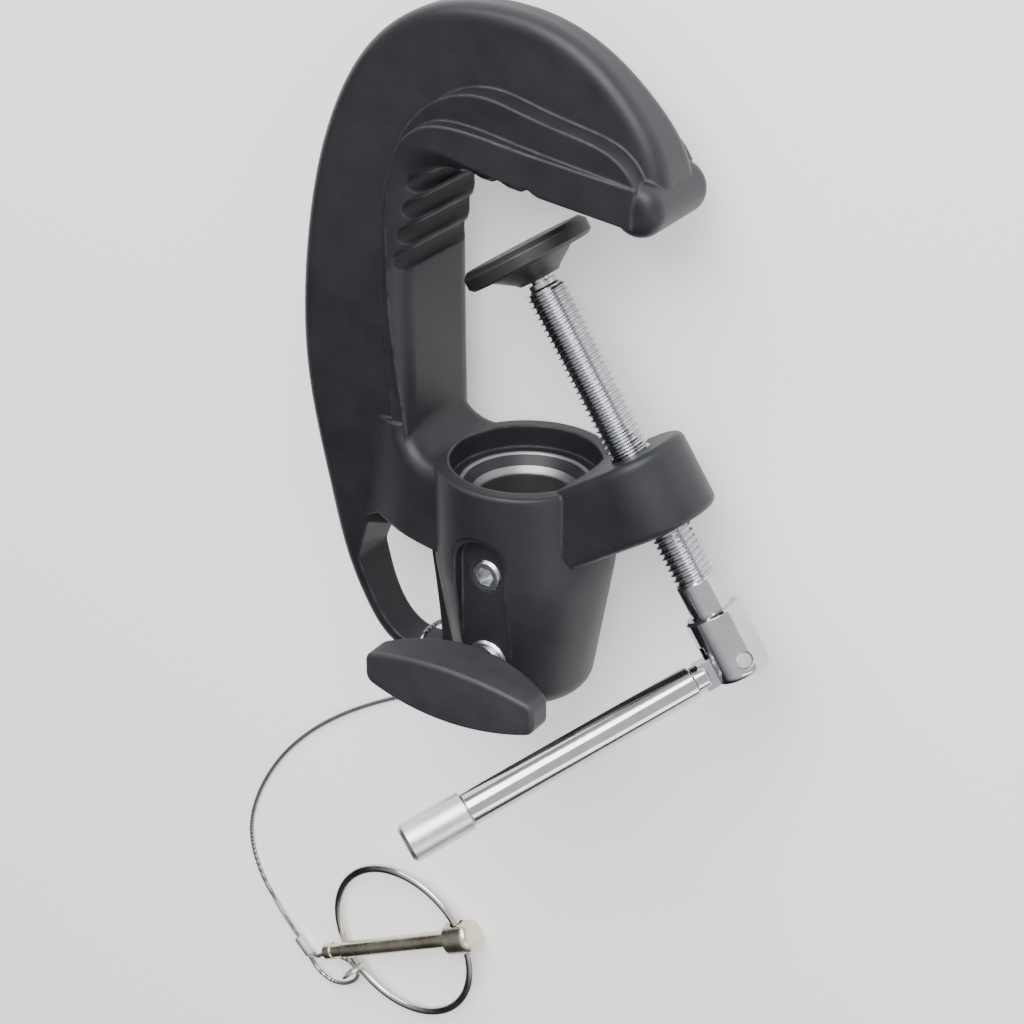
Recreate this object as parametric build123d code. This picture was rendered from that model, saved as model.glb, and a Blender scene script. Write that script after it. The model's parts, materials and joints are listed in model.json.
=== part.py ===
from build123d import *
import math
import os

# Screw clamp for grip tubes, with a 28 mm stand socket and a safety pin on a wire.
# Millimetres. The clamp lies on its side on a flat surface, knob side up:
#   +X from the back of the hook to its nose, +Y from the socket to the hook,
#   +Z up. The origin is on the socket's axis, at its rim, half way through.

# ---- driving sizes -------------------------------------------------------------
# hook casting
SPINE_INNER_X = -29.5        # face of the back that a tube would touch
SPINE_OUTER_X = -69.0        # outermost point of the back
HOOK_TOP_Y = 131.0
NOSE_CENTRE = (41.0, 86.5)
NOSE_R = 7.5
NOSE_HALF = 15.0             # half thickness of the nose bead
NOSE_ROUND = 4.5
FLANGE_HALF = 20.0           # half thickness of the inner flange
FLANGE_BAND_HALF = 15.0      # half thickness behind the flange's lip
FLANGE_EDGE_R = 8.5          # rounding of the flange's gripping edges
RIB_HALF = 13.5              # half thickness of the outer rib, at its thickest
RIB_ROUND = 4.5
JAW_CORNER_R = 9.0
SHOULDER_ROUND = 5.0
TOOTH_R = 3.3
TOOTH_PITCH = 8.0
STRUT_HALF = 6.5             # half thickness of the bow below the back
STRUT_THICK = 6.0

# stand socket
SPIGOT_D = 28.6              # the 1-1/8 inch stand spigot that fits the socket
SPIGOT_GAP = 0.2             # radial
SOCKET_R = 26.5
SOCKET_TAPER_Y = -30.0       # the outside tapers below this height
SOCKET_END_R = 19.5
SOCKET_END_Y = -73.0
SOCKET_END_ROUND = 7.5
RIM_R = 22.0                 # wide counterbore in the mouth
RIM_DEPTH = 7.0
STEP_R = 18.7                # edge of the funnel under the counterbore
FUNNEL_DEPTH = 5.0

# clamping spindle
SPINDLE_TILT = 33.2          # from the socket's axis, degrees
SPINDLE_X = 41.0             # where its axis crosses the rim's plane
SPINDLE_D = 12.0             # over the M12 x 1.75 thread
THREAD_FIT = 0.05            # radial
THREAD_END = 27.0            # along the axis, from the rim's plane
SHANK_D = 12.4
SHOULDER = 37.1              # top face of the clevis head
LUG_TOP = -12.5
LUG_END = 10.0
LUG_R = 15.5
LUG_REACH = 26.0             # from its axis back into the socket's wall
LUG_ROUND = 2.5
NECK_D = 5.6
BALL_R = 4.6
BALL_FIT = 0.06              # radial
COLLAR_R = 4.0
COLLAR_THICK = 2.0
PAD_FACE = -77.5             # gripping face of the pad, along the axis
PAD_SKIN = 1.6               # metal over the ball
PAD_R = 18.8
PAD_RIM = 5.5
PAD_HUB_R = 7.0
PAD_HUB_WALL = -0.4          # the hub ends just short of the ball
PAD_TILT = 6.0               # degrees each way
PAD_TILT_GAP = 1.0

# clevis head and folding lever
CLEVIS_R = 8.5
CLEVIS_LENGTH = 20.5
CLEVIS_PIVOT = 15.2          # below the shoulder
SLOT_DEPTH = 7.5             # the slot starts this far below the shoulder
SLOT_WIDTH = 6.4
HEAD_END_ROUND = 2.2
HEAD_BEVEL = 0.8
TANG_R = 4.6
LEVER_PIN_D = 5.0
LEVER_D = 9.8
KNUCKLE_D = 8.2
NECK_START = 9.8             # the round part starts clear of the clevis
BAR_START = 14.0
SPIGOT_IN_BAR = 8.0
LEVER_LENGTH = 106.0         # pivot to the end of the tip
LEVER_TURN = 131.0           # about the spindle, from the outward side
TIP_LENGTH = 19.0
TIP_D = 11.6

# locking knob and set screw
KNOB_Y = -57.0
STUD_D = 10.0                # over the M10 x 1.5 thread
SHOE_LENGTH = 3.0
SHOE_D = 8.0
RECESS_Z = 21.0              # floor of the flat channel down the socket's front
RECESS_WIDTH = 16.6
RECESS_LIP = 2.0
WING_HALF_LENGTH = 28.5
WING_MID_HALF = 9.0          # half height in the middle
WING_END_HALF = 4.5
WING_BACK_Z = 27.5
WING_SWEEP = 7.0             # how far the back of each end stands forward
WING_FRONT_Z = 43.5
WING_ROUND = 1.4
HUB_D = 15.0
HUB_LENGTH = 3.0
BUSH_D = 14.0
BUSH_PROUD = 0.6
SET_SCREW_Y = -28.5
SET_SCREW_D = 10.0
SET_SCREW_KEY = 5.0
SET_PROUD = 0.8

# safety pin on its wire
WIRE_D = 1.5
FERRULE_D = 4.2
FERRULE_LENGTH = 8.0
RING_OD = 60.0
RING_WIRE = 3.2
PIN_D = 6.0
PIN_LENGTH = 69.0
PIN_HEAD_D = 11.5
PIN_HEAD_LENGTH = 11.0
RING_PLACE = (-63.5, -212.0)
SPLIT_RING_OD = 11.0
SPLIT_PLACE = (-84.6, -233.1)
SPLIT_RING_WIRE = 1.2

CLEAR = 0.3                  # between pieces that only pass each other
WELL_PAST = 45.0             # how far cutting shapes run past the casting
FIT = 0.02                   # radial, pressed or pinned pieces

FLOOR_Z = -(SOCKET_R + 0.5)  # the surface that the clamp lies on
bore_r = SPIGOT_D / 2 + SPIGOT_GAP

os.makedirs("parts", exist_ok=True)
parts = {}


def keep(name, shape):
    """Files one solid under its node name."""
    solids = shape.solids()
    if len(solids) != 1:
        print(name, "has", len(solids), "solids")
    solid = solids[0]
    solid.label = name
    parts[name] = solid
    return solid


def slab(face, half):
    """A face in the XY plane made into a plate, the same each side of it."""
    return extrude(face, amount=half, both=True)


def rod(start, direction, length, radius):
    """A round bar from a point along a direction."""
    return extrude(Plane(origin=start, z_dir=direction) * Circle(radius), amount=length)


# ---- hook casting --------------------------------------------------------------
tilt = math.radians(SPINDLE_TILT)
down = Vector(math.sin(tilt), -math.cos(tilt), 0)      # along the spindle, to the lever
outward = Vector(math.cos(tilt), math.sin(tilt), 0)    # across it, away from the back
lug_centre = Vector(SPINDLE_X, 0, 0)


def on_spindle(distance):
    return lug_centre + down * distance


# gripping side of the jaw: up the back, out along the arm
jaw_low = (SPINE_INNER_X, 57.0)
jaw_corner = (SPINE_INNER_X + 7.4, 89.0)
arm_slope = -0.125
arm_end = (NOSE_CENTRE[0], jaw_corner[1] + arm_slope * (NOSE_CENTRE[0] - jaw_corner[0]))

outer_points = [
    (-20, SOCKET_END_Y - 2.0),
    (-34, SOCKET_END_Y - 3.0),
    (-46.5, SOCKET_END_Y + 0.5),
    (-55.5, -61),
    (-61, -46),
    (-64.5, -22),
    (SPINE_OUTER_X, 18),
    (-67.2, 58),
    (-61, 91),
    (-48.5, 114.5),
    (-30, 127.5),
    (-9, HOOK_TOP_Y),
    (13, 127.3),
    (25.5, 120.6),
    (36.3, 111),
    (44.3, 100),
    (46.8, 92),
]
outer_edge = Spline(*outer_points)

rib_outline = Wire([
    outer_edge,
    Line((46.8, 92), NOSE_CENTRE),
    Line(NOSE_CENTRE, (-20, 96)),
    Line((-20, 96), (-34, 80)),
    Line((-34, 80), (-34, 0)),
    Line((-34, 0), (0, -10)),
    Line((0, -10), (0, SOCKET_END_Y + 4)),
    Line((0, SOCKET_END_Y + 4), outer_points[0]),
])
rib = slab(make_face(rib_outline), WELL_PAST)

# the rib thins towards the hook's top and down into the bow
thin = [
    (SOCKET_END_Y - 10, STRUT_HALF),
    (-52, STRUT_HALF + 0.3),
    (-20, RIB_HALF - 3),
    (25, RIB_HALF),
    (70, RIB_HALF - 1.5),
    (100, RIB_HALF - 5),
    (HOOK_TOP_Y + 5, RIB_HALF - 7),
]
# seen from the side: horizontal is Y, vertical is Z
from_side = Plane(origin=(0, 0, 0), x_dir=(0, 1, 0), z_dir=(1, 0, 0))


def both_sides(points):
    """A face between a curve and its reflection in the horizontal axis."""
    upper = Spline(*points)
    lower = Spline(*[(x, -y) for x, y in points])
    start, end = points[0], points[-1]
    return make_face(Wire([
        upper,
        Line(end, (end[0], -end[1])),
        lower,
        Line((start[0], -start[1]), start),
    ]))


rib = rib & extrude(from_side * both_sides(thin), amount=4 * WELL_PAST, both=True)


def near_outer(edge):
    middle = edge @ 0.5
    gaps = [math.hypot(middle.X - (outer_edge @ (i / 300)).X, middle.Y - (outer_edge @ (i / 300)).Y)
            for i in range(301)]
    return min(gaps) < 1.5 and edge.length > 60 and abs(middle.Z) > 2


rib = fillet(rib.edges().filter_by(near_outer), RIB_ROUND)

# ---- inner flange, which carries the gripping face -------------------------------
flange_back = Spline(
    (-38.5, -24),
    (-38.5, 40),
    (-36.5, 80),
    (-30, 96.3),
    (-22.9, 104),
    (-14, 108.7),
    (-4, 109.8),
    (8, 107.3),
    (22, 104.3),
    (34, 101),
    (NOSE_CENTRE[0] + 1, NOSE_CENTRE[1] + 6.5),
)
lip_back = Spline(
    (-33.5, -30),
    (-33.5, 40),
    (-32.5, 80),
    (-28.5, 94),
    (-20.5, 100.3),
    (-11, 101.3),
    (6, 98.7),
    (24, 95.8),
    (50, 92),
)
flange_face = make_face(Wire([
    flange_back,
    Line(flange_back @ 1, NOSE_CENTRE),
    Line(NOSE_CENTRE, arm_end),
    Line(arm_end, jaw_corner),
    Line(jaw_corner, jaw_low),
    Line(jaw_low, (SPINE_INNER_X, -24)),
    Line((SPINE_INNER_X, -24), (-38.5, -24)),
]))
band_face = make_face(Wire([
    lip_back,
    Line((50, 92), (50, 140)),
    Line((50, 140), (-60, 140)),
    Line((-60, 140), (-60, -30)),
    Line((-60, -30), (-33.5, -30)),
]))
flange_face = fillet(flange_face.vertices().sort_by_distance(jaw_corner)[0], JAW_CORNER_R)
flange_plan = [(-80, FLANGE_HALF + 1), (-30, FLANGE_HALF + 0.3), (-8, FLANGE_HALF - 0.8),
               (20, FLANGE_HALF - 3), (60, NOSE_HALF - 0.5)]
flange_side = [(-26, 14), (0, 17.5), (30, FLANGE_HALF + 0.3), (140, FLANGE_HALF + 1)]
# seen from the socket's foot: horizontal is X, vertical is Z
from_foot = Plane(origin=(0, 0, 0), x_dir=(1, 0, 0), z_dir=(0, -1, 0))
flange = slab(flange_face, FLANGE_HALF)


def on_jaw(edge):
    middle = edge @ 0.5
    arm_gap = middle.Y - (jaw_corner[1] + arm_slope * (middle.X - jaw_corner[0]))
    on_back = abs(middle.X - SPINE_INNER_X) < 0.1 and middle.Y < jaw_low[1]
    on_slope = middle.Y > jaw_low[1] and middle.X < -10
    on_arm = middle.X >= -20 and abs(arm_gap) < 0.2
    gripping = on_back or (on_slope and middle.X > SPINE_INNER_X - 0.1) or on_arm
    return gripping and abs(middle.Z) > 12 and edge.length > 4


flange = fillet(flange.edges().filter_by(on_jaw), FLANGE_EDGE_R)
flange = flange & extrude(from_foot * both_sides(flange_plan), amount=4 * WELL_PAST, both=True)
flange = flange & extrude(from_side * both_sides(flange_side), amount=4 * WELL_PAST, both=True)
band = slab(band_face, WELL_PAST) - slab(band_face, FLANGE_BAND_HALF)
flange = flange - band

nose = Pos(*NOSE_CENTRE, 0) * Cylinder(NOSE_R, 2 * NOSE_HALF)
nose = fillet(nose.edges(), NOSE_ROUND)

# ---- shoulder between the back and the socket ------------------------------------
shoulder_face = make_face(Wire([
    Line((SPINE_OUTER_X + 4, 6), (SPINE_INNER_X, 9)),
    RadiusArc((SPINE_INNER_X, 9), (SPINE_INNER_X + 9, 0), -9),
    Line((SPINE_INNER_X + 9, 0), (0, 0)),
    Line((0, 0), (0, -28)),
    Line((0, -28), (-44, -24.5)),
    Line((-44, -24.5), (-60, -34)),
    Line((-60, -34), (SPINE_OUTER_X + 4, 6)),
]))
shoulder_plan = [(-75, 4), (-53, 8.5), (-43, 12.5), (-34, 16.5), (-24, 19), (2, 19.5)]
shoulder = slab(shoulder_face, WELL_PAST) & extrude(
    from_foot * both_sides(shoulder_plan), amount=4 * WELL_PAST, both=True)
shoulder_rounds = [e for e in shoulder.edges()
                   if -1 < (e @ 0.5).Y < 9.5 and abs((e @ 0.5).Z) > 12 and (e @ 0.5).X > -31]
shoulder = fillet(shoulder_rounds, SHOULDER_ROUND)

# ---- socket ------------------------------------------------------------------------
socket_face = Polygon(
    (0, 0), (SOCKET_R, 0), (SOCKET_R, SOCKET_TAPER_Y),
    (SOCKET_END_R, SOCKET_END_Y), (0, SOCKET_END_Y), align=None,
)
socket_face = fillet(socket_face.vertices().sort_by_distance((SOCKET_R, 0))[0], 1.2)
socket_face = fillet(
    socket_face.vertices().sort_by_distance((SOCKET_R, SOCKET_TAPER_Y))[0], 40)
socket_face = fillet(
    socket_face.vertices().sort_by_distance((SOCKET_END_R, SOCKET_END_Y))[0], SOCKET_END_ROUND)
socket = revolve(socket_face, axis=Axis.Y)

# ---- lug for the spindle -------------------------------------------------------------
lug_plane = Plane(origin=on_spindle(LUG_TOP), x_dir=outward, z_dir=down)
lug_face = Circle(LUG_R) + Pos(-LUG_REACH / 2, 0) * Rectangle(LUG_REACH, 2 * LUG_R)
lug = extrude(lug_plane * lug_face, amount=LUG_END - LUG_TOP)
lug_ends = lug.edges().filter_by(lambda e: e.geom_type == GeomType.CIRCLE)
lug = fillet(lug_ends, LUG_ROUND)

casting = rib + flange + nose + shoulder + socket + lug

# ---- cuts ------------------------------------------------------------------------------
above_rim = 30
bore_face = Polygon(
    (0, above_rim), (RIM_R, above_rim), (RIM_R, -RIM_DEPTH), (STEP_R, -RIM_DEPTH),
    (bore_r, -RIM_DEPTH - FUNNEL_DEPTH), (bore_r, SOCKET_END_Y + 1),
    (bore_r + 2, SOCKET_END_Y - 1), (0, SOCKET_END_Y - 1), align=None,
)
bore_cut = revolve(bore_face, axis=Axis.Y)
# the mouth is opened above the rim too, but not through the shoulder at the back
back_stays = Pos(-RIM_R - 20, above_rim / 2, 0) * Box(40, above_rim, 80)
casting = casting - (bore_cut - back_stays)

def inside_bow(outer_point):
    """The point of the bow's inner face that faces a point of its outline."""
    at = outer_edge.param_at_point(Vector(*outer_point))
    along = outer_edge % at
    across = Vector(along.Y, -along.X, 0)
    spot = Vector(*outer_point) + across * STRUT_THICK
    return (spot.X, spot.Y)


bow_points = [inside_bow(q) for q in reversed(outer_points[1:5])]
eye_top_left = (bow_points[0][0] + 5, -30.5)
eye_foot_right = (-25.4, bow_points[-1][1] + 0.3)
eye_outline = Wire([
    Line((-30.5, -25.8), eye_top_left),
    Line(eye_top_left, bow_points[0]),
    Spline(*bow_points),
    Line(bow_points[-1], eye_foot_right),
    Line(eye_foot_right, (-27.2, -30)),
    Line((-27.2, -30), (-30.5, -25.8)),
])
eye_face = make_face(eye_outline)
eye_rounds = [((-30.5, -25.8), 3), (eye_top_left, 4), (bow_points[0], 4), (eye_foot_right, 1.5),
              ((-27.2, -30), 3)]
for corner, radius in eye_rounds:
    eye_face = fillet(eye_face.vertices().sort_by_distance(corner)[0], radius)
eye_cut = slab(eye_face, WELL_PAST) - socket
casting = casting - eye_cut

# teeth across the jaw
tooth_places = []
jaw_lean = Vector(jaw_corner[0] - jaw_low[0], jaw_corner[1] - jaw_low[1], 0).normalized()
for i in range(4):
    at = Vector(*jaw_low, 0) + jaw_lean * (2.2 + i * TOOTH_PITCH)
    tooth_places.append(at)
arm_run = Vector(1, arm_slope, 0).normalized()
for i in range(3):
    at = Vector(*jaw_corner, 0) + arm_run * (14.5 + i * (TOOTH_PITCH + 1))
    tooth_places.append(at)
for at in tooth_places:
    casting = casting - Pos(at.X, at.Y, 0) * Cylinder(TOOTH_R, 60)

# flat channel for the screws, with a shallow step round its top
channel_half = RECESS_WIDTH / 2
channel_top = SET_SCREW_Y + 4


def channel(half, floor):
    round_top = Pos(0, channel_top, floor) * extrude(Circle(half), amount=30)
    straight = Pos(0, channel_top - 30, floor + 15) * Box(2 * half, 60, 30)
    return round_top + straight


casting = casting - channel(channel_half, RECESS_Z)
casting = casting - channel(channel_half + RECESS_LIP, SOCKET_R - 1.6)

# screw holes and the spindle's thread
set_hole = rod((0, SET_SCREW_Y, 0), (0, 0, 1), 40, SET_SCREW_D / 2 + FIT)
bush_hole = rod((0, KNOB_Y, bore_r + 2), (0, 0, 1), 40, BUSH_D / 2)
bush_hole += rod((0, KNOB_Y, 0), (0, 0, 1), 40, STUD_D / 2 + THREAD_FIT)
casting = casting - set_hole - bush_hole
spindle_hole = rod(on_spindle(LUG_TOP - 12), down, LUG_END - LUG_TOP + 24,
                   SPINDLE_D / 2 + THREAD_FIT)
casting = casting - spindle_hole
keep("clamp_body", casting)

# ---- clamping spindle ----------------------------------------------------------------
BALL_AT = PAD_FACE + PAD_SKIN + BALL_R
collar_top = BALL_AT + BALL_R + PAD_HUB_WALL + PAD_TILT_GAP
thread_top = collar_top + COLLAR_THICK
shank_end = SHOULDER + SLOT_DEPTH - 0.5

spindle = Pos(*on_spindle(BALL_AT)) * Sphere(BALL_R)
spindle += rod(on_spindle(BALL_AT), down, thread_top - BALL_AT + 1, NECK_D / 2)
thread = rod(on_spindle(thread_top), down, THREAD_END - thread_top, SPINDLE_D / 2)
thread = chamfer(thread.edges().filter_by(GeomType.CIRCLE), 1.0)
spindle += thread
spindle += rod(on_spindle(THREAD_END - 1), down, shank_end - THREAD_END + 1, SHANK_D / 2)
keep("spindle", spindle)

collar = rod(on_spindle(collar_top), down, COLLAR_THICK, COLLAR_R)
collar -= rod(on_spindle(collar_top - 1), down, COLLAR_THICK + 2, NECK_D / 2 + CLEAR / 2)
keep("pad_collar", collar)

# pad section, drawn from the axis outwards; height is towards the lug
hub_end = BALL_AT + BALL_R + PAD_HUB_WALL - PAD_FACE
pad_section = Polygon(
    (0, 0), (PAD_R - 1.5, 0), (PAD_R, 1.5), (PAD_R, PAD_RIM - 1.0),
    (PAD_R - 1.0, PAD_RIM), (PAD_R - 6.0, PAD_RIM), (PAD_HUB_R, hub_end - 1.0),
    (PAD_HUB_R - 1.0, hub_end), (0, hub_end), align=None,
)
pad_section_plane = Plane(origin=on_spindle(PAD_FACE), x_dir=outward, z_dir=outward.cross(down))
pad = revolve(pad_section_plane * pad_section, axis=Axis(on_spindle(PAD_FACE), down))
pad -= Pos(*on_spindle(BALL_AT)) * Sphere(BALL_R + BALL_FIT)
pad_mouth = math.tan(math.radians(PAD_TILT)) * (BALL_R + PAD_HUB_WALL)
pad -= rod(on_spindle(BALL_AT), down, 20, NECK_D / 2 + pad_mouth + CLEAR)
keep("swivel_pad", pad)

# ---- clevis head and lever ---------------------------------------------------------------
turn = math.radians(LEVER_TURN)
lever_dir = outward * math.cos(turn) + Vector(0, 0, 1) * math.sin(turn)
pin_dir = down.cross(lever_dir)
PIVOT = SHOULDER + CLEVIS_PIVOT
pivot = on_spindle(PIVOT)
head_end = SHOULDER + CLEVIS_LENGTH

head = rod(on_spindle(SHOULDER), down, CLEVIS_LENGTH, CLEVIS_R)
head = fillet(head.edges().filter_by(GeomType.CIRCLE).sort_by_distance(on_spindle(head_end))[0],
              HEAD_END_ROUND)
head = chamfer(head.edges().filter_by(GeomType.CIRCLE).sort_by_distance(on_spindle(SHOULDER))[0],
               HEAD_BEVEL)
head -= rod(on_spindle(SHOULDER - 1), down, shank_end - SHOULDER + 1, SHANK_D / 2 + FIT)
slot_plane = Plane(origin=on_spindle(SHOULDER + SLOT_DEPTH), x_dir=lever_dir, z_dir=down)
slot = extrude(slot_plane * Rectangle(4 * CLEVIS_R, SLOT_WIDTH), amount=CLEVIS_LENGTH)
head -= slot
head -= rod(pivot - pin_dir * 15, pin_dir, 30, LEVER_PIN_D / 2 + FIT)
keep("clevis_head", head)

pin_half = CLEVIS_R - 0.5
lever_pin = rod(pivot - pin_dir * pin_half, pin_dir, 2 * pin_half, LEVER_PIN_D / 2)
lever_pin = chamfer(lever_pin.edges().filter_by(GeomType.CIRCLE), 0.4)
keep("lever_pin", lever_pin)


def along_lever(distance):
    return pivot + lever_dir * distance


tang_half = SLOT_WIDTH / 2 - CLEAR / 2
knuckle_side = Plane(origin=pivot - pin_dir * tang_half, x_dir=lever_dir, z_dir=pin_dir)
tang_face = Circle(TANG_R) + Pos(NECK_START / 2 + 1, 0) * Rectangle(NECK_START + 2, 2 * TANG_R - 1)
knuckle = extrude(knuckle_side * tang_face, amount=2 * tang_half)
knuckle -= rod(pivot - pin_dir * 15, pin_dir, 30, LEVER_PIN_D / 2 + THREAD_FIT)
neck = rod(along_lever(NECK_START), lever_dir, BAR_START - NECK_START, KNUCKLE_D / 2)
neck = fillet(neck.edges().filter_by(GeomType.CIRCLE).sort_by_distance(along_lever(NECK_START))[0], 1)
knuckle += neck
knuckle += rod(along_lever(BAR_START - 1), lever_dir, SPIGOT_IN_BAR + 1, KNUCKLE_D / 2 - 1.6)
keep("lever_knuckle", knuckle)

tip_start = LEVER_LENGTH - TIP_LENGTH
bar = rod(along_lever(BAR_START), lever_dir, tip_start - BAR_START, LEVER_D / 2)
bar = chamfer(bar.edges().filter_by(GeomType.CIRCLE), 0.6)
bar += rod(along_lever(tip_start - 1), lever_dir, SPIGOT_IN_BAR + 1, LEVER_D / 2 - 1.6)
bar -= rod(along_lever(BAR_START - 1), lever_dir, SPIGOT_IN_BAR + 1.5, KNUCKLE_D / 2 - 1.6 + FIT)
keep("lever_bar", bar)

tip = rod(along_lever(tip_start), lever_dir, TIP_LENGTH, TIP_D / 2)
tip = chamfer(tip.edges().filter_by(GeomType.CIRCLE).sort_by_distance(along_lever(LEVER_LENGTH))[0], 1)
tip -= rod(along_lever(tip_start - 1), lever_dir, SPIGOT_IN_BAR + 1.5, LEVER_D / 2 - 1.6 + FIT)
keep("lever_tip", tip)

# ---- locking knob and set screw --------------------------------------------------------------
up = Vector(0, 0, 1)
knob_foot = Vector(0, KNOB_Y, 0)
shoe_z = bore_r + CLEAR * 2
shoe = rod(knob_foot + up * shoe_z, up, SHOE_LENGTH, SHOE_D / 2)
shoe = chamfer(shoe.edges().filter_by(GeomType.CIRCLE).sort_by(Axis.Z)[0], 0.6)
keep("locking_shoe", shoe)

bush_top = RECESS_Z + BUSH_PROUD
bush = rod(knob_foot + up * (bore_r + 2), up, bush_top - bore_r - 2, BUSH_D / 2 - FIT)
bush = chamfer(bush.edges().filter_by(GeomType.CIRCLE).sort_by(Axis.Z)[-1], 0.8)
bush -= rod(knob_foot, up, 60, STUD_D / 2 + THREAD_FIT)
keep("knob_bush", bush)
# the rest of the hole behind the bush clears the shoe

stud_top = WING_FRONT_Z - 5
stud = rod(knob_foot + up * (shoe_z + SHOE_LENGTH), up, stud_top - shoe_z - SHOE_LENGTH, STUD_D / 2)
stud = chamfer(stud.edges().filter_by(GeomType.CIRCLE), 0.8)
keep("knob_stud", stud)

wing_front = make_face(Wire([
    ThreePointArc((-WING_HALF_LENGTH, WING_END_HALF), (0, WING_MID_HALF),
                  (WING_HALF_LENGTH, WING_END_HALF)),
    Line((WING_HALF_LENGTH, WING_END_HALF), (WING_HALF_LENGTH, -WING_END_HALF)),
    ThreePointArc((WING_HALF_LENGTH, -WING_END_HALF), (0, -WING_MID_HALF),
                  (-WING_HALF_LENGTH, -WING_END_HALF)),
    Line((-WING_HALF_LENGTH, -WING_END_HALF), (-WING_HALF_LENGTH, WING_END_HALF)),
]))
wing_front = fillet(wing_front.vertices(), 3.5)
past_end = WING_HALF_LENGTH + 1
wing_top = make_face(Wire([
    ThreePointArc((-past_end, WING_BACK_Z + WING_SWEEP), (0, WING_BACK_Z),
                  (past_end, WING_BACK_Z + WING_SWEEP)),
    Line((past_end, WING_BACK_Z + WING_SWEEP), (past_end, WING_FRONT_Z - 1.5)),
    ThreePointArc((past_end, WING_FRONT_Z - 1.5), (0, WING_FRONT_Z),
                  (-past_end, WING_FRONT_Z - 1.5)),
    Line((-past_end, WING_FRONT_Z - 1.5), (-past_end, WING_BACK_Z + WING_SWEEP)),
]))
wing = extrude(Plane(origin=knob_foot) * wing_front, amount=60)
wing &= extrude(Plane(origin=knob_foot, x_dir=(1, 0, 0), z_dir=(0, -1, 0)) * wing_top,
                amount=30, both=True)
wing = fillet(wing.edges().filter_by(lambda e: e.length > 2), WING_ROUND)
hub = rod(knob_foot + up * (WING_BACK_Z - HUB_LENGTH), up, HUB_LENGTH + 3, HUB_D / 2)
hub = fillet(hub.edges().filter_by(GeomType.CIRCLE).sort_by(Axis.Z)[0], 1)
wing += hub
wing -= rod(knob_foot, up, stud_top, STUD_D / 2 + FIT)
keep("knob_wing", wing)

set_low = bore_r + CLEAR * 2
set_screw = rod((0, SET_SCREW_Y, set_low), up, RECESS_Z + SET_PROUD - set_low, SET_SCREW_D / 2)
set_screw = chamfer(set_screw.edges().filter_by(GeomType.CIRCLE), 0.8)
key_plane = Plane(origin=(0, SET_SCREW_Y, RECESS_Z + SET_PROUD - SET_SCREW_KEY * 0.7))
set_screw -= extrude(key_plane * RegularPolygon(SET_SCREW_KEY / 2, 6, major_radius=False), amount=10)
keep("set_screw", set_screw)

# ---- wire lanyard -------------------------------------------------------------------------------
wire_z = FLOOR_Z + WIRE_D / 2


def bend_radii(points):
    """Each corner's arc, as large as its two runs allow."""
    radii = []
    spots = [Vector(*q) for q in points]
    for before, here, after in zip(spots, spots[1:], spots[2:]):
        half_turn = math.radians((here - before).get_angle(after - here)) / 2
        shorter = min((here - before).length, (after - here).length)
        radii.append(0.45 * shorter / math.tan(half_turn))
    return radii


def tube(name, points, diameter):
    radii = bend_radii(points)
    path = FilletPolyline(*points, radius=radii)
    start = Plane(origin=path @ 0, z_dir=path % 0)
    solid = keep(name, sweep(start * Circle(diameter / 2), path=path))
    print(name, "length", round(path.length, 1), "radii", [round(r, 1) for r in radii],
          "volume / section x length", round(solid.volume / (math.pi * diameter**2 / 4 * path.length), 4))
    return path


# loop round the bow, closed by the first ferrule
bow_x = -33.0
bow_out = outer_points[1][1]                 # the bow's lowest face here, and its inner one
bow_in = bow_out + STRUT_THICK
loop_points = [
    (bow_x, bow_out - 4.9, -10.5),
    (bow_x, bow_out - 2.3, -8.6),
    (bow_x, bow_out - 1.4, -4.0),
    (bow_x, bow_out - 1.4, 4.0),
    (bow_x, bow_out + 0.8, 8.4),
    (bow_x, bow_in + 1.0, 8.8),
    (bow_x, bow_in + 4.6, 5.0),
    (bow_x, bow_in + 4.6, -3.0),
    (bow_x, bow_in + 2.0, -8.8),
    (bow_x, bow_out + 1.6, -11.4),
    (bow_x, bow_out - 4.6, -12.3),
]
tube("lanyard_loop", loop_points, WIRE_D)
ferrule_dir = Vector(-2.0, -9.0, -3.0).normalized()
top_ferrule = Vector(bow_x, bow_out - 4.7, -11.4)


def ferrule(name, centre_start, direction, length):
    body = rod(centre_start, direction, length, FERRULE_D / 2)
    body = chamfer(body.edges().filter_by(GeomType.CIRCLE), 0.5)
    keep(name, body)


ferrule("ferrule_top", top_ferrule - ferrule_dir * 1.5, ferrule_dir, FERRULE_LENGTH)
wire_start = top_ferrule + ferrule_dir * (FERRULE_LENGTH - 1.5)

ferrule_z = FLOOR_Z + FERRULE_D / 2
wire_points = [
    tuple(wire_start),
    tuple(wire_start + ferrule_dir * 6.5),
    (-38.8, -96.8, -18.8),
    (-45.5, -103.4, -23.8),
    (-55, -110.3, wire_z),
    (-71, -118.5, wire_z),
    (-89, -130, wire_z),
    (-105, -143.5, wire_z),
    (-118.5, -159.5, wire_z),
    (-128.5, -178, wire_z),
    (-132.5, -194.5, wire_z),
    (-129, -210.5, wire_z),
    (-121.2, -221.6, wire_z + 0.4),
    (-115.5, -227.3, ferrule_z),
    (-111.5, -231.6, ferrule_z),
]
tube("lanyard_wire", wire_points, WIRE_D)
end_dir = (Vector(*wire_points[-1]) - Vector(*wire_points[-2])).normalized()
ferrule("ferrule_end", Vector(*wire_points[-1]), end_dir, FERRULE_LENGTH)

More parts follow.
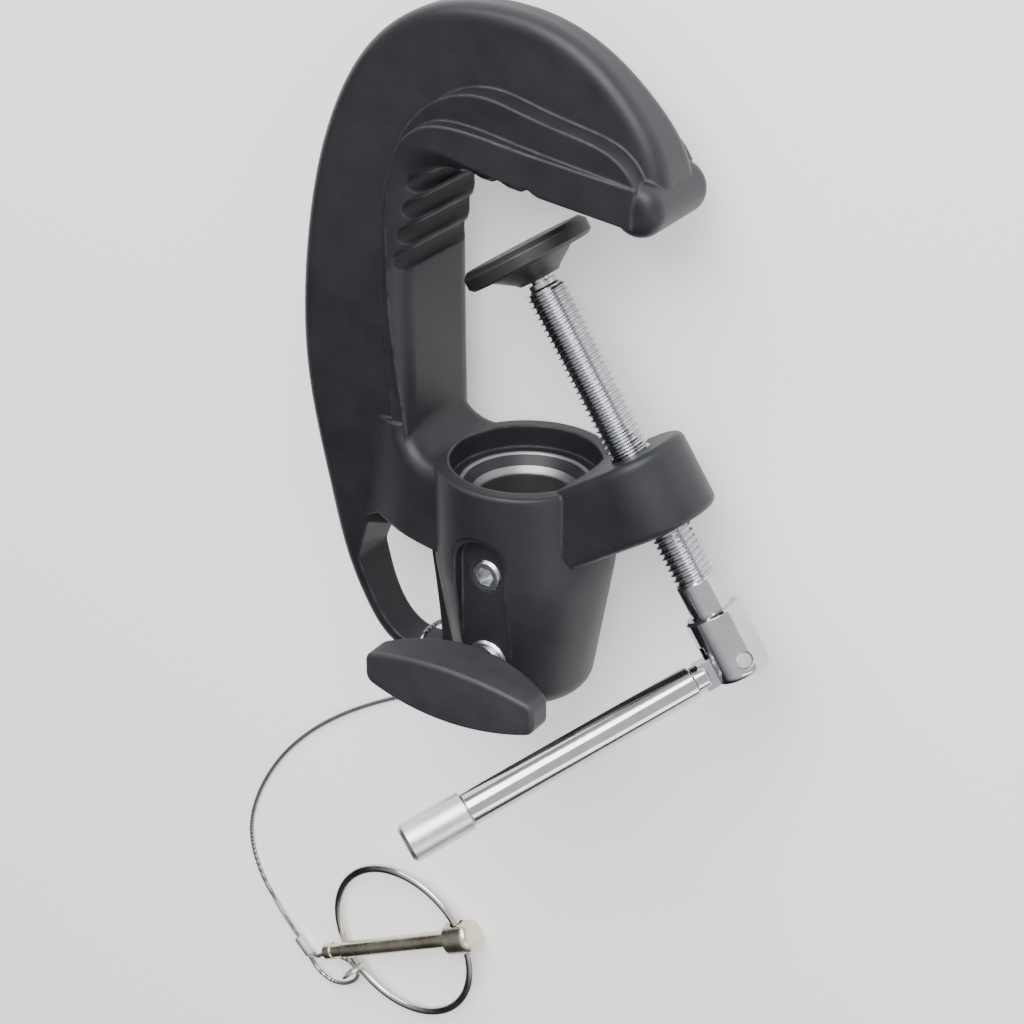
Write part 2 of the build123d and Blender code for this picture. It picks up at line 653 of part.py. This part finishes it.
# eye at the end of the wire; its two strands start inside the ferrule
eye_z = FLOOR_Z + 2.8
eye_foot = Vector(*wire_points[-1]) + end_dir * (FERRULE_LENGTH - 1.5)
eye_side = Vector(-end_dir.Y, end_dir.X, 0) * (WIRE_D / 2 + 0.05)
eye_points = [
    tuple(eye_foot - eye_side),
    tuple(eye_foot - eye_side * 2.2 + end_dir * 3.8),
    (-101.9, -243.2, eye_z),
    (-96.5, -245.2, eye_z),
    (-90.7, -243.9, eye_z),
    (-86.1, -240.2, eye_z),
    (-84.4, -236.3, eye_z),
    (-87.8, -232.9, eye_z),
    (-93.5, -232.2, eye_z),
    (-99.7, -233.9, eye_z),
    tuple(eye_foot + eye_side * 2.4 + end_dir * 3.4),
    tuple(eye_foot + eye_side),
]
tube("lanyard_eye", eye_points, WIRE_D)

# ---- rings and safety pin ---------------------------------------------------------------------------
ring_r = (RING_OD - RING_WIRE) / 2
pin_head_r = PIN_HEAD_D / 2
ring_low = RING_WIRE / 2 + SPLIT_RING_WIRE + 0.5      # its free side lies on the split ring
ring_high = pin_head_r                                # the other side is held in the pin's head
ring_tilt = math.asin((ring_high - ring_low) / (2 * ring_r))
ring_heading = Vector(0.897, 0.442, 0).normalized()
ring_x = ring_heading * math.cos(ring_tilt) + up * math.sin(ring_tilt)
ring_up = up * math.cos(ring_tilt) - ring_heading * math.sin(ring_tilt)
ring_centre = Vector(*RING_PLACE, FLOOR_Z + (ring_low + ring_high) / 2)
keep("linch_ring", Plane(origin=ring_centre, x_dir=ring_x, z_dir=ring_up)
     * Torus(ring_r, RING_WIRE / 2))

split_out = Vector(1, 1, 0).normalized()
split_r = (SPLIT_RING_OD - SPLIT_RING_WIRE) / 2
split_centre = Vector(*SPLIT_PLACE, FLOOR_Z + SPLIT_RING_OD / 2)
keep("split_ring", Plane(origin=split_centre, x_dir=split_out, z_dir=split_out.cross(up))
     * Torus(split_r, SPLIT_RING_WIRE / 2))

# the pin lies over the ring's low side and is held at its head by the high side
head_spot = ring_centre + ring_x * ring_r
rest_spot = ring_centre - ring_x * ring_r + up * (RING_WIRE / 2 + PIN_D / 2 + CLEAR)
pin_x = (head_spot - rest_spot).normalized()
pin_side = up.cross(pin_x).normalized()
pin_low = head_spot - pin_x * (PIN_LENGTH - PIN_HEAD_LENGTH / 2)
pin = rod(pin_low, pin_x, PIN_LENGTH - PIN_HEAD_LENGTH / 2, PIN_D / 2)
pin = chamfer(pin.edges().filter_by(GeomType.CIRCLE).sort_by_distance(pin_low)[0], 1.2)
pin_head = rod(head_spot - pin_x * PIN_HEAD_LENGTH / 2, pin_x, PIN_HEAD_LENGTH, pin_head_r)
head_circles = pin_head.edges().filter_by(GeomType.CIRCLE)
pin_head = fillet(head_circles.sort_by_distance(head_spot + pin_x * PIN_HEAD_LENGTH)[0], 2.6)
pin_head = chamfer(
    pin_head.edges().filter_by(GeomType.CIRCLE).sort_by_distance(pin_low)[0], 0.8)
pin += pin_head
ring_bow = ring_r - math.sqrt(ring_r**2 - pin_head_r**2)
pin -= rod(head_spot - pin_side * 15, pin_side, 30, RING_WIRE / 2 + ring_bow + CLEAR)
groove_at = (head_spot - rest_spot).length
groove = rod(head_spot - pin_x * (groove_at + 2.4), pin_x, 4.8, PIN_D)
groove -= rod(head_spot - pin_x * (groove_at + 3), pin_x, 6, PIN_D / 2 - 0.4)
pin -= groove
keep("linch_pin", pin)

print("ring hinge", [round(v, 3) for v in head_spot], [round(v, 4) for v in pin_side])
print("floor", FLOOR_Z, "pivot", [round(v, 3) for v in pivot])
print("down", [round(v, 5) for v in down], "pin_dir", [round(v, 5) for v in pin_dir],
      "lever_dir", [round(v, 5) for v in lever_dir])
print("ball", [round(v, 3) for v in on_spindle(BALL_AT)], "thread top", round(thread_top, 2))
for name, solid in parts.items():
    export_step(solid, "parts/" + name + ".step")
print(len(parts), "nodes")
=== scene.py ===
import json
import math

import bmesh
import bpy
from mathutils import Matrix, Vector


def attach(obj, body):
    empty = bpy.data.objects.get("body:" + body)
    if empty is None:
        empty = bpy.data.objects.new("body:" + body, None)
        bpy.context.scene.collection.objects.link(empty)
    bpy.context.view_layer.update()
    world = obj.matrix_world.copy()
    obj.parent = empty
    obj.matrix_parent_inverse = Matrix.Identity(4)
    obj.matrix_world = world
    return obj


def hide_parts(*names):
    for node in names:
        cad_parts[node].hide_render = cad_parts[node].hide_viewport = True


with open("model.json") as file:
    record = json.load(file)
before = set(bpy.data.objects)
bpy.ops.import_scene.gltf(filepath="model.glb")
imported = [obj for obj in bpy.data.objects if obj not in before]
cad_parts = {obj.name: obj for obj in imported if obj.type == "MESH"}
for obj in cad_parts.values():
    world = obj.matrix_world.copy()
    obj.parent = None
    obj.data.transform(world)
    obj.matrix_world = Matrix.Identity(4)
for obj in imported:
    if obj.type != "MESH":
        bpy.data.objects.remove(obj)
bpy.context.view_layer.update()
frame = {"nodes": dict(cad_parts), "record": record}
nodes = frame["nodes"]

# shared places, in metres, the same as the clamp's own sizes
spindleTilt = math.radians(33.2)
down = Vector((math.sin(spindleTilt), -math.cos(spindleTilt), 0))     # along the spindle, to the lever
lugCentre = Vector((0.041, 0, 0))
floorHeight = -0.027
mm = 0.001


def onSpindle(distance):
    return lugCentre + down * distance


# short forms for the material nodes used over and over
def newMaterial(name):
    material = bpy.data.materials.new(name)
    material.use_nodes = True
    tree = material.node_tree
    tree.nodes.clear()
    shader = tree.nodes.new("ShaderNodeBsdfPrincipled")
    output = tree.nodes.new("ShaderNodeOutputMaterial")
    tree.links.new(shader.outputs["BSDF"], output.inputs["Surface"])
    coords = tree.nodes.new("ShaderNodeTexCoord")
    return material, tree, shader, coords.outputs["Object"]


def noise(tree, vector, scale, detail=4.0, rough=0.5, stretch=(1, 1, 1)):
    mapping = tree.nodes.new("ShaderNodeMapping")
    mapping.inputs["Scale"].default_value = stretch
    tree.links.new(vector, mapping.inputs["Vector"])
    texture = tree.nodes.new("ShaderNodeTexNoise")
    texture.inputs["Scale"].default_value = scale
    texture.inputs["Detail"].default_value = detail
    texture.inputs["Roughness"].default_value = rough
    tree.links.new(mapping.outputs["Vector"], texture.inputs["Vector"])
    return texture.outputs["Fac"]


def ramp(tree, factor, low, high, lowAt=0.3, highAt=0.7):
    node = tree.nodes.new("ShaderNodeValToRGB")
    node.color_ramp.elements[0].position = lowAt
    node.color_ramp.elements[1].position = highAt
    node.color_ramp.elements[0].color = (*low, 1)
    node.color_ramp.elements[1].color = (*high, 1)
    tree.links.new(factor, node.inputs["Fac"])
    return node.outputs["Color"]


def remap(tree, value, fromLow, fromHigh, toLow, toHigh):
    node = tree.nodes.new("ShaderNodeMapRange")
    node.inputs["From Min"].default_value = fromLow
    node.inputs["From Max"].default_value = fromHigh
    node.inputs["To Min"].default_value = toLow
    node.inputs["To Max"].default_value = toHigh
    tree.links.new(value, node.inputs["Value"])
    return node.outputs["Result"]


def calc(tree, kind, a, b=None):
    node = tree.nodes.new("ShaderNodeMath")
    node.operation = kind
    for socket, value in zip(node.inputs, (a, b)):
        if value is None:
            continue
        if isinstance(value, (int, float)):
            socket.default_value = value
        else:
            tree.links.new(value, socket)
    return node.outputs["Value"]


def mix(tree, factor, a, b):
    node = tree.nodes.new("ShaderNodeMix")
    node.data_type = "RGBA"
    for socket, value in ((node.inputs[0], factor), (node.inputs[6], a), (node.inputs[7], b)):
        if isinstance(value, (int, float)):
            socket.default_value = value
        elif isinstance(value, tuple):
            socket.default_value = (*value, 1)
        else:
            tree.links.new(value, socket)
    return node.outputs[2]


def roundedEdges(tree, radius):
    node = tree.nodes.new("ShaderNodeBevel")
    node.samples = 6
    node.inputs["Radius"].default_value = radius
    return node.outputs["Normal"]


def bump(tree, height, distance, strength=1.0, normal=None):
    node = tree.nodes.new("ShaderNodeBump")
    node.inputs["Distance"].default_value = distance
    node.inputs["Strength"].default_value = strength
    tree.links.new(height, node.inputs["Height"])
    if normal is not None:
        tree.links.new(normal, node.inputs["Normal"])
    return node.outputs["Normal"]


def edgeMask(tree, softNormal):
    geometry = tree.nodes.new("ShaderNodeNewGeometry")
    dot = tree.nodes.new("ShaderNodeVectorMath")
    dot.operation = "DOT_PRODUCT"
    tree.links.new(geometry.outputs["Normal"], dot.inputs[0])
    tree.links.new(softNormal, dot.inputs[1])
    return remap(tree, dot.outputs["Value"], 0.995, 0.9, 0.0, 1.0)


castingPaint = {
    "face": (0.014, 0.0148, 0.018),
    "faceLight": (0.021, 0.022, 0.026),
    "edge": (0.075, 0.077, 0.086),
    "edgeRound": 1.3 * mm,
    "rubScale": 260,
    "mottleScale": 70,
    "grainScale": 2600,
    "waveScale": 320,
    "reliefDepth": 0.06 * mm,
    "gloss": 0.38,
    "machined": (0.3, 0.3, 0.31),
    "boreRadius": 14.62 * mm,
    "boreTop": -11.7 * mm,
    "wornRings": (                                       # radius, height, half width, half height
        (18.7 * mm, -7.0 * mm, 0.5 * mm, 0.6 * mm),      # lip of the funnel
        (15.2 * mm, -11.4 * mm, 0.9 * mm, 1.2 * mm),     # foot of the funnel
    ),
}


def within(tree, value, middle, reach):
    offset = calc(tree, "ABSOLUTE", calc(tree, "SUBTRACT", value, middle))
    return calc(tree, "LESS_THAN", offset, reach)


# the socket's bore is bare machined metal, and paint has worn off the rings of its funnel
def bareMetal(tree, place):
    c = castingPaint
    split = tree.nodes.new("ShaderNodeSeparateXYZ")
    tree.links.new(place, split.inputs["Vector"])
    height = split.outputs["Y"]
    squares = [calc(tree, "MULTIPLY", split.outputs[axis], split.outputs[axis]) for axis in ("X", "Z")]
    radius = calc(tree, "SQRT", calc(tree, "ADD", *squares))
    bare = calc(tree, "MULTIPLY", calc(tree, "LESS_THAN", radius, c["boreRadius"]),
                calc(tree, "LESS_THAN", height, c["boreTop"]))
    for ringRadius, ringHeight, halfWidth, halfHeight in c["wornRings"]:
        ring = calc(tree, "MULTIPLY", within(tree, radius, ringRadius, halfWidth),
                    within(tree, height, ringHeight, halfHeight))
        bare = calc(tree, "MAXIMUM", bare, ring)
    return bare


def makeCastingPaint():
    c = castingPaint
    material, tree, shader, place = newMaterial("castingPaint")
    soft = roundedEdges(tree, c["edgeRound"])
    mottle = noise(tree, place, c["mottleScale"], 6, 0.6)
    colour = ramp(tree, mottle, c["face"], c["faceLight"])
    wear = remap(tree, noise(tree, place, c["rubScale"]), 0.35, 0.65, 0.15, 0.75)
    colour = mix(tree, calc(tree, "MULTIPLY", edgeMask(tree, soft), wear), colour, c["edge"])
    bare = bareMetal(tree, place)
    tree.links.new(mix(tree, bare, colour, c["machined"]), shader.inputs["Base Color"])
    tree.links.new(bare, shader.inputs["Metallic"])
    tree.links.new(remap(tree, mottle, 0.2, 0.8, 0.38, 0.5), shader.inputs["Roughness"])
    shader.inputs["Specular IOR Level"].default_value = c["gloss"]
    grain = noise(tree, place, c["grainScale"], 3, 0.6)
    waves = noise(tree, place, c["waveScale"], 2, 0.5)
    relief = calc(tree, "ADD", calc(tree, "MULTIPLY", grain, 0.35), waves)
    tree.links.new(bump(tree, relief, c["reliefDepth"], 0.7, soft), shader.inputs["Normal"])
    return material


def makePaint(name, dark, light, roughness, grainScale, grainDepth, edge):
    material, tree, shader, place = newMaterial(name)
    soft = roundedEdges(tree, 0.6 * mm)
    mottle = noise(tree, place, 120, 5, 0.6)
    colour = mix(tree, edgeMask(tree, soft), ramp(tree, mottle, dark, light), edge)
    tree.links.new(colour, shader.inputs["Base Color"])
    dullness = remap(tree, mottle, 0.2, 0.8, roughness - 0.06, roughness + 0.08)
    tree.links.new(dullness, shader.inputs["Roughness"])
    grain = noise(tree, place, grainScale, 3, 0.6)
    tree.links.new(bump(tree, grain, grainDepth, 0.8, soft), shader.inputs["Normal"])
    return material


def makeMetal(name, dark, light, roughness, marks, markDepth, stretch=(1, 1, 1), edges=0.35 * mm):
    material, tree, shader, place = newMaterial(name)
    shader.inputs["Metallic"].default_value = 1.0
    soft = roundedEdges(tree, edges)
    smudge = noise(tree, place, 140, 5, 0.6)
    tree.links.new(ramp(tree, smudge, dark, light), shader.inputs["Base Color"])
    dullness = remap(tree, smudge, 0.25, 0.75, roughness * 0.7, roughness * 1.4)
    tree.links.new(dullness, shader.inputs["Roughness"])
    scratches = noise(tree, place, marks, 4, 0.6, stretch)
    tree.links.new(bump(tree, scratches, markDepth, 0.6, soft), shader.inputs["Normal"])
    return material


wireLook = {
    "strandScale": 420,
    "strandTwist": 1.5,
    # painted shade: the grooves between the strands are coloured dark for the shade that falls in them
    "paintedGrooveShade": (0.16, 0.16, 0.17),
    "strand": (0.5, 0.5, 0.51),
    "roughness": 0.38,
    "depth": 0.12 * mm,
}


def makeStrandedWire():
    w = wireLook
    material, tree, shader, place = newMaterial("strandedWire")
    shader.inputs["Metallic"].default_value = 1.0
    wave = tree.nodes.new("ShaderNodeTexWave")
    wave.wave_type = "BANDS"
    wave.bands_direction = "DIAGONAL"
    wave.inputs["Scale"].default_value = w["strandScale"]
    wave.inputs["Distortion"].default_value = w["strandTwist"]
    tree.links.new(place, wave.inputs["Vector"])
    # the dark end of this ramp is painted shade in the grooves between the strands
    strands = ramp(tree, wave.outputs["Fac"], w["paintedGrooveShade"], w["strand"], 0.1, 0.8)
    tree.links.new(strands, shader.inputs["Base Color"])
    shader.inputs["Roughness"].default_value = w["roughness"]
    tree.links.new(bump(tree, wave.outputs["Fac"], w["depth"], 0.9), shader.inputs["Normal"])
    return material


finishes = {
    "casting": makeCastingPaint(),
    "pad_paint": makePaint("padPaint", (0.01, 0.01, 0.011), (0.018, 0.018, 0.019), 0.4, 1500, 0.05 * mm,
                           (0.07, 0.07, 0.075)),
    "knob_black": makePaint("mouldedBlack", (0.024, 0.025, 0.03), (0.034, 0.035, 0.042), 0.5, 2200, 0.05 * mm,
                            (0.075, 0.077, 0.088)),
    "chrome": makeMetal("brightChrome", (0.5, 0.51, 0.53), (0.6, 0.61, 0.63), 0.1, 900, 0.01 * mm),
    "satin_steel": makeMetal("turnedSteel", (0.6, 0.6, 0.63), (0.72, 0.72, 0.75), 0.34, 1800, 0.03 * mm),
    "zinc_steel": makeMetal("zincPlate", (0.5, 0.51, 0.53), (0.66, 0.67, 0.69), 0.26, 1400, 0.02 * mm),
    "brass": makeMetal("turnedBrass", (0.6, 0.44, 0.18), (0.75, 0.57, 0.27), 0.3, 1400, 0.02 * mm),
    "wire_steel": makeStrandedWire(),
    "ferrule": makeMetal("crimpedAluminium", (0.62, 0.62, 0.64), (0.78, 0.78, 0.8), 0.4, 1600, 0.05 * mm),
    "yellow_zinc": makeMetal("yellowZinc", (0.62, 0.56, 0.42), (0.78, 0.74, 0.62), 0.25, 1200, 0.03 * mm),
    "spring_steel": makeMetal("springWire", (0.56, 0.55, 0.52), (0.72, 0.71, 0.68), 0.2, 1200, 0.02 * mm),
}

for entry in frame["record"]["subparts"]:
    piece = nodes[entry["node"]]
    piece.data.materials.clear()
    piece.data.materials.append(finishes[entry["material_slot"]])
print("materials on", len(nodes), "nodes")


def alongSpindle(distance):
    side = Vector((0, 0, 1))
    across = side.cross(down)
    turned = Matrix((across, side, down)).transposed().to_4x4()
    return Matrix.Translation(onSpindle(distance)) @ turned


def finished(name, mesh, place, slot, body, smoothAngle=35):
    bmesh.ops.recalc_face_normals(mesh, faces=mesh.faces[:])
    mesh.transform(place)
    data = bpy.data.meshes.new(name)
    mesh.to_mesh(data)
    mesh.free()
    piece = bpy.data.objects.new(name, data)
    bpy.context.scene.collection.objects.link(piece)
    data.materials.append(finishes[slot])
    data.shade_smooth()
    data.set_sharp_from_angle(angle=math.radians(smoothAngle))
    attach(piece, body)
    return piece


def lathe(profile, steps=64):
    mesh = bmesh.new()
    spots = [mesh.verts.new((radius * mm, 0, height * mm)) for height, radius in profile]
    edges = [mesh.edges.new(pair) for pair in zip(spots, spots[1:])]
    bmesh.ops.spin(mesh, geom=spots + edges, cent=(0, 0, 0), axis=(0, 0, 1), angle=2 * math.pi,
                   steps=steps, use_merge=True)
    bmesh.ops.remove_doubles(mesh, verts=mesh.verts[:], dist=0.002 * mm)
    return mesh


# the spindle: a right-hand thread, a plain shank below it and the neck that holds the ball
screw = {
    "outer": 5.98 * mm,
    "root": 5.05 * mm,
    "pitch": 1.75 * mm,
    "start": -64.1 * mm,
    "end": 27.0 * mm,
    "steps": 28,             # a turn
}


def makeThread():
    s = screw
    turns = math.ceil((s["end"] - s["start"]) / s["pitch"]) + 2
    rootFlat = 0.25 * s["pitch"]
    flank = 0.31 * s["pitch"]
    profile = [(0, s["root"]), (rootFlat, s["root"]), (rootFlat + flank, s["outer"]),
               (s["pitch"] - flank, s["outer"]), (s["pitch"], s["root"])]
    mesh = bmesh.new()
    spots = [mesh.verts.new((radius, 0, height - s["pitch"])) for height, radius in profile]
    edges = [mesh.edges.new(pair) for pair in zip(spots, spots[1:])]
    bmesh.ops.spin(mesh, geom=spots + edges, cent=(0, 0, 0), axis=(0, 0, 1), angle=2 * math.pi * turns,
                   dvec=(0, 0, s["pitch"] / s["steps"]), steps=s["steps"] * turns)
    bmesh.ops.remove_doubles(mesh, verts=mesh.verts[:], dist=0.01 * mm)
    length = s["end"] - s["start"]
    for height, outward in ((0, -1), (length, 1)):
        everything = mesh.verts[:] + mesh.edges[:] + mesh.faces[:]
        bmesh.ops.bisect_plane(mesh, geom=everything, plane_co=(0, 0, height), plane_no=(0, 0, outward),
                               clear_outer=True)
        rim = [e for e in mesh.edges if e.is_boundary and abs(e.verts[0].co.z - height) < 0.01 * mm]
        bmesh.ops.holes_fill(mesh, edges=rim, sides=0)
    return mesh


# distance along the spindle and radius, both in millimetres
shankProfile = [(26.4, 0), (26.4, 5.3), (27.6, 6.2), (44.1, 6.2), (44.1, 0)]
neckProfile = [
    (-75.9, 0), (-75.4, 2.0), (-73.9, 3.8), (-71.3, 4.6), (-69.2, 4.1),     # the ball
    (-67.7, 2.8), (-65.2, 2.8), (-64.6, 4.2), (-63.4, 5.0), (-63.4, 0),     # neck and end of thread
]
thread = finished("spindle_thread", makeThread(), alongSpindle(screw["start"]), "chrome", "spindle", 25)
shank = finished("spindle_shank", lathe(shankProfile), alongSpindle(0), "chrome", "spindle")
neck = finished("spindle_neck", lathe(neckProfile), alongSpindle(0), "zinc_steel", "spindle")
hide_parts("spindle")
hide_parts("spindle")
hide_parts("spindle")
print("spindle", len(thread.data.polygons), "faces")

# the wire that keeps the safety pin on the clamp, from ferrule to ferrule
lanyard = {
    "diameter": 1.5 * mm,
    "length": 197.5 * mm,
    "exit": (-0.03434, -0.08673, -0.01341),
    "route": [
        (-0.03434, -0.08673, -0.01341),
        (-0.03568, -0.09277, -0.01542),
        (-0.0388, -0.0968, -0.0188),
        (-0.0455, -0.1034, -0.0238),
        (-0.055, -0.1103, -0.02625),
        (-0.071, -0.1185, -0.02625),
        (-0.089, -0.130, -0.02625),
        (-0.105, -0.1435, -0.02625),
        (-0.1185, -0.1595, -0.02625),
        (-0.1285, -0.178, -0.02625),
        (-0.1325, -0.1945, -0.02625),
        (-0.129, -0.2105, -0.02625),
        (-0.1212, -0.2216, -0.02585),
        (-0.1155, -0.2273, -0.0249),
        (-0.1115, -0.2316, -0.0249),
    ],
}


def makeLanyardWire():
    curve = bpy.data.curves.new("lanyardWire", "CURVE")
    curve.dimensions = "3D"
    spline = curve.splines.new("NURBS")
    spline.points.add(len(lanyard["route"]) - 1)
    for point, spot in zip(spline.points, lanyard["route"]):
        point.co = (*spot, 1)
    spline.order_u = 3
    spline.use_endpoint_u = True
    spline.resolution_u = 12
    curve.bevel_depth = lanyard["diameter"] / 2
    curve.bevel_resolution = 5
    curve.use_fill_caps = True
    curve.materials.append(finishes["wire_steel"])
    piece = bpy.data.objects.new("wire", curve)
    bpy.context.scene.collection.objects.link(piece)
    return piece


wire = makeLanyardWire()
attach(wire, "body")
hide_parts("lanyard_wire")
print("lanyard wire laid")

studio = {
    "keyPlace": (0.2, 1.05, 0.9),          # above the hook, so flat faces stay dark
    "keySize": (1.0, 1.0),
    "keyEnergy": 27.0,
    "rimPlace": (-0.55, 0.95, 0.5),        # behind the hook, for its upper edges
    "rimSize": (0.5, 0.25),
    "rimEnergy": 4.0,
    "sidePlace": (0.95, -0.35, 0.55),
    "sideSize": (0.3, 0.8),
    "sideEnergy": 2.5,
    "surround": 0.9,
    "floorShade": (0.95, 0.95, 0.95),
    "floorPale": (0.96, 0.96, 0.96),
    "floorGlow": 0.5,
    "brightSide": (0.5, 0.5, 0.7),         # the surround is pale here and dark across from it
}


def makeFloor():
    mesh = bmesh.new()
    bmesh.ops.create_grid(mesh, x_segments=1, y_segments=1, size=4.0)
    mesh.transform(Matrix.Translation((0, 0, floorHeight)))
    data = bpy.data.meshes.new("floor")
    mesh.to_mesh(data)
    mesh.free()
    floor = bpy.data.objects.new("floor", data)
    bpy.context.scene.collection.objects.link(floor)
    material, tree, shader, place = newMaterial("paleSweep")
    cloud = ramp(tree, noise(tree, place, 3), studio["floorShade"], studio["floorPale"])
    tree.links.new(cloud, shader.inputs["Base Color"])
    shader.inputs["Roughness"].default_value = 0.9
    shader.inputs["Emission Color"].default_value = (1, 1, 1, 1)
    shader.inputs["Emission Strength"].default_value = studio["floorGlow"]
    data.materials.append(material)


def makeLight(name, place, target, size, energy):
    lamp = bpy.data.lights.new(name, "AREA")
    lamp.shape = "RECTANGLE"
    lamp.size, lamp.size_y = size
    lamp.energy = energy
    light = bpy.data.objects.new(name, lamp)
    light.location = place
    light.rotation_euler = (Vector(target) - Vector(place)).to_track_quat("-Z", "Y").to_euler()
    bpy.context.scene.collection.objects.link(light)


def makeSurround():
    world = bpy.data.worlds.new("surround")
    bpy.context.scene.world = world
    world.use_nodes = True
    tree = world.node_tree
    background = tree.nodes["Background"]
    coords = tree.nodes.new("ShaderNodeTexCoord")
    facing = tree.nodes.new("ShaderNodeVectorMath")
    facing.operation = "DOT_PRODUCT"
    facing.inputs[1].default_value = studio["brightSide"]
    tree.links.new(coords.outputs["Generated"], facing.inputs[0])
    colour = ramp(tree, facing.outputs["Value"], (0.03, 0.03, 0.035), (1, 1, 1), 0.0, 0.7)
    tree.links.new(colour, background.inputs["Color"])
    background.inputs["Strength"].default_value = studio["surround"]


makeFloor()
for light in ("key", "rim", "side"):
    makeLight(light + "Light", studio[light + "Place"], (0, 0, 0), studio[light + "Size"],
              studio[light + "Energy"])
makeSurround()

view = {
    "place": Vector((0.32332, 0.30022, 0.51742)),
    "aim": Vector((-0.4760, -0.4626, -0.7507)),
    "lens": 83.7,
    "sensor": 36,
}


def makeCamera():
    data = bpy.data.cameras.new("camera")
    data.lens = view["lens"]
    data.sensor_width = view["sensor"]
    data.clip_start = 0.01
    camera = bpy.data.objects.new("camera", data)
    back = -view["aim"].normalized()
    right = Vector((0, 1, 0)).cross(back).normalized()       # the clamp stands upright in the picture
    up = back.cross(right)
    turned = Matrix((right, up, back)).transposed().to_4x4()
    camera.matrix_world = Matrix.Translation(view["place"]) @ turned
    bpy.context.scene.collection.objects.link(camera)
    bpy.context.scene.camera = camera


makeCamera()
print("stage set")
